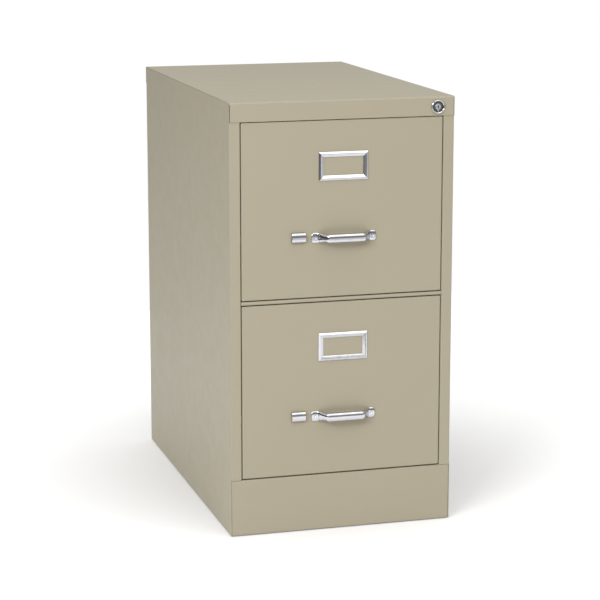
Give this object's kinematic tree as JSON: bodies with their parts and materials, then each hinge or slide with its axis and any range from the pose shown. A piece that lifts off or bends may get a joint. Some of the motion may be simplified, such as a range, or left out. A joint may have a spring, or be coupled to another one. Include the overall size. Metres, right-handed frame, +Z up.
{
  "type": "vertical filing cabinet",
  "caption": "Sheet-steel vertical filing cabinet for letter files, with roller drawers, chrome pulls, thumb latches, label holders and a top lock.",
  "frame": {"origin": "on the floor, under the middle of the box that holds the cabinet and its pulls", "axes": "+Z up, the drawers open towards -Y, +X towards the lock side"},
  "size_m": [0.381, 0.655, 0.7207],
  "materials": {
    "putty_paint": "semi-gloss baked putty enamel",
    "bright_chrome": "bright",
    "zinc_plate": "zinc plated",
    "nylon": "natural nylon",
    "lock_core": "dark satin",
    "glide_metal": "zinc plated"
  },
  "bodies": {
    "case": {"side_panel_left": "putty_paint", "side_panel_right": "putty_paint", "top_panel": "putty_paint", "back_panel": "putty_paint", "base_front_panel": "putty_paint", "cross_rail": "putty_paint", "upright_front_left": "putty_paint", "upright_front_right": "putty_paint", "upright_rear_left": "putty_paint", "upright_rear_right": "putty_paint", "glide_bracket_front_left": "putty_paint", "glide_bracket_front_right": "putty_paint", "glide_bracket_rear_left": "putty_paint", "glide_bracket_rear_right": "putty_paint", "upper_case_rail_left": "zinc_plate", "upper_case_rail_right": "zinc_plate", "lower_case_rail_left": "zinc_plate", "lower_case_rail_right": "zinc_plate", "lock_housing": "bright_chrome"},
    "upper_drawer": {"upper_drawer_face": "putty_paint", "upper_drawer_liner": "putty_paint", "upper_drawer_tray": "putty_paint", "upper_drawer_back": "putty_paint", "upper_label_holder": "bright_chrome", "upper_pull": "bright_chrome", "upper_lock_catch": "zinc_plate", "upper_drawer_rail_left": "zinc_plate", "upper_drawer_rail_right": "zinc_plate", "upper_latch_spring": "zinc_plate"},
    "upper_thumb_latch": {"upper_thumb_button": "bright_chrome", "upper_latch_slide": "zinc_plate"},
    "upper_case_roller_left": {"upper_case_roller_left": "nylon"},
    "upper_drawer_roller_left": {"upper_drawer_roller_left": "nylon"},
    "upper_case_roller_right": {"upper_case_roller_right": "nylon"},
    "upper_drawer_roller_right": {"upper_drawer_roller_right": "nylon"},
    "lower_drawer": {"lower_drawer_face": "putty_paint", "lower_drawer_liner": "putty_paint", "lower_drawer_tray": "putty_paint", "lower_drawer_back": "putty_paint", "lower_label_holder": "bright_chrome", "lower_pull": "bright_chrome", "lower_lock_catch": "zinc_plate", "lower_drawer_rail_left": "zinc_plate", "lower_drawer_rail_right": "zinc_plate", "lower_latch_spring": "zinc_plate"},
    "lower_thumb_latch": {"lower_thumb_button": "bright_chrome", "lower_latch_slide": "zinc_plate"},
    "lower_case_roller_left": {"lower_case_roller_left": "nylon"},
    "lower_drawer_roller_left": {"lower_drawer_roller_left": "nylon"},
    "lower_case_roller_right": {"lower_case_roller_right": "nylon"},
    "lower_drawer_roller_right": {"lower_drawer_roller_right": "nylon"},
    "lock_plug": {"lock_plug": "lock_core", "lock_cam": "zinc_plate"},
    "lock_bar": {"lock_bar": "zinc_plate"},
    "glide_front_left": {"glide_front_left": "glide_metal"},
    "glide_front_right": {"glide_front_right": "glide_metal"},
    "glide_rear_left": {"glide_rear_left": "glide_metal"},
    "glide_rear_right": {"glide_rear_right": "glide_metal"}
  },
  "joints": [
    {"name": "upper_drawer_slide", "type": "slide", "parent": "case", "child": "upper_drawer", "axis": [0, -1, 0], "range_m": [0, 0.46]},
    {"name": "upper_latch_press", "type": "slide", "parent": "upper_drawer", "child": "upper_thumb_latch", "axis": [1, 0, 0], "range_m": [0, 0.007], "stiffness_N_per_m": 250, "springref_m": -0.004, "deforming": ["upper_latch_spring"]},
    {"name": "upper_case_roller_left_spin", "type": "hinge", "parent": "case", "child": "upper_case_roller_left", "pos_m": [-0.165, -0.2775, 0.4662], "axis": [1, 0, 0], "continuous": true},
    {"name": "upper_drawer_roller_left_spin", "type": "hinge", "parent": "upper_drawer", "child": "upper_drawer_roller_left", "pos_m": [-0.165, 0.214, 0.4679], "axis": [1, 0, 0], "continuous": true},
    {"name": "upper_case_roller_right_spin", "type": "hinge", "parent": "case", "child": "upper_case_roller_right", "pos_m": [0.165, -0.2775, 0.4662], "axis": [1, 0, 0], "continuous": true},
    {"name": "upper_drawer_roller_right_spin", "type": "hinge", "parent": "upper_drawer", "child": "upper_drawer_roller_right", "pos_m": [0.165, 0.214, 0.4679], "axis": [1, 0, 0], "continuous": true},
    {"name": "lower_drawer_slide", "type": "slide", "parent": "case", "child": "lower_drawer", "axis": [0, -1, 0], "range_m": [0, 0.46]},
    {"name": "lower_latch_press", "type": "slide", "parent": "lower_drawer", "child": "lower_thumb_latch", "axis": [1, 0, 0], "range_m": [0, 0.007], "stiffness_N_per_m": 250, "springref_m": -0.004, "deforming": ["lower_latch_spring"]},
    {"name": "lower_case_roller_left_spin", "type": "hinge", "parent": "case", "child": "lower_case_roller_left", "pos_m": [-0.165, -0.2775, 0.1666], "axis": [1, 0, 0], "continuous": true},
    {"name": "lower_drawer_roller_left_spin", "type": "hinge", "parent": "lower_drawer", "child": "lower_drawer_roller_left", "pos_m": [-0.165, 0.214, 0.1683], "axis": [1, 0, 0], "continuous": true},
    {"name": "lower_case_roller_right_spin", "type": "hinge", "parent": "case", "child": "lower_case_roller_right", "pos_m": [0.165, -0.2775, 0.1666], "axis": [1, 0, 0], "continuous": true},
    {"name": "lower_drawer_roller_right_spin", "type": "hinge", "parent": "lower_drawer", "child": "lower_drawer_roller_right", "pos_m": [0.165, 0.214, 0.1683], "axis": [1, 0, 0], "continuous": true},
    {"name": "lock_turn", "type": "hinge", "parent": "case", "child": "lock_plug", "pos_m": [0.1615, -0.3075, 0.704], "axis": [0, -1, 0], "range_deg": [0, 90]},
    {"name": "lock_bar_lift", "type": "slide", "parent": "case", "child": "lock_bar", "axis": [0, 0, 1], "range_m": [0, 0.012]},
    {"name": "glide_front_left_screw", "type": "slide", "parent": "case", "child": "glide_front_left", "axis": [0, 0, -1], "range_m": [0, 0.012]},
    {"name": "glide_front_right_screw", "type": "slide", "parent": "case", "child": "glide_front_right", "axis": [0, 0, -1], "range_m": [0, 0.012]},
    {"name": "glide_rear_left_screw", "type": "slide", "parent": "case", "child": "glide_rear_left", "axis": [0, 0, -1], "range_m": [0, 0.012]},
    {"name": "glide_rear_right_screw", "type": "slide", "parent": "case", "child": "glide_rear_right", "axis": [0, 0, -1], "range_m": [0, 0.012]}
  ],
  "couplings": [
    {"joint": "upper_case_roller_left_spin", "follows": "upper_drawer_slide", "rad_per_m": 125},
    {"joint": "upper_drawer_roller_left_spin", "follows": "upper_drawer_slide", "rad_per_m": 100},
    {"joint": "upper_case_roller_right_spin", "follows": "upper_drawer_slide", "rad_per_m": 125},
    {"joint": "upper_drawer_roller_right_spin", "follows": "upper_drawer_slide", "rad_per_m": 100},
    {"joint": "lower_case_roller_left_spin", "follows": "lower_drawer_slide", "rad_per_m": 125},
    {"joint": "lower_drawer_roller_left_spin", "follows": "lower_drawer_slide", "rad_per_m": 100},
    {"joint": "lower_case_roller_right_spin", "follows": "lower_drawer_slide", "rad_per_m": 125},
    {"joint": "lower_drawer_roller_right_spin", "follows": "lower_drawer_slide", "rad_per_m": 100},
    {"joint": "lock_turn", "follows": "lock_bar_lift", "rad_per_m": 130.9}
  ]
}
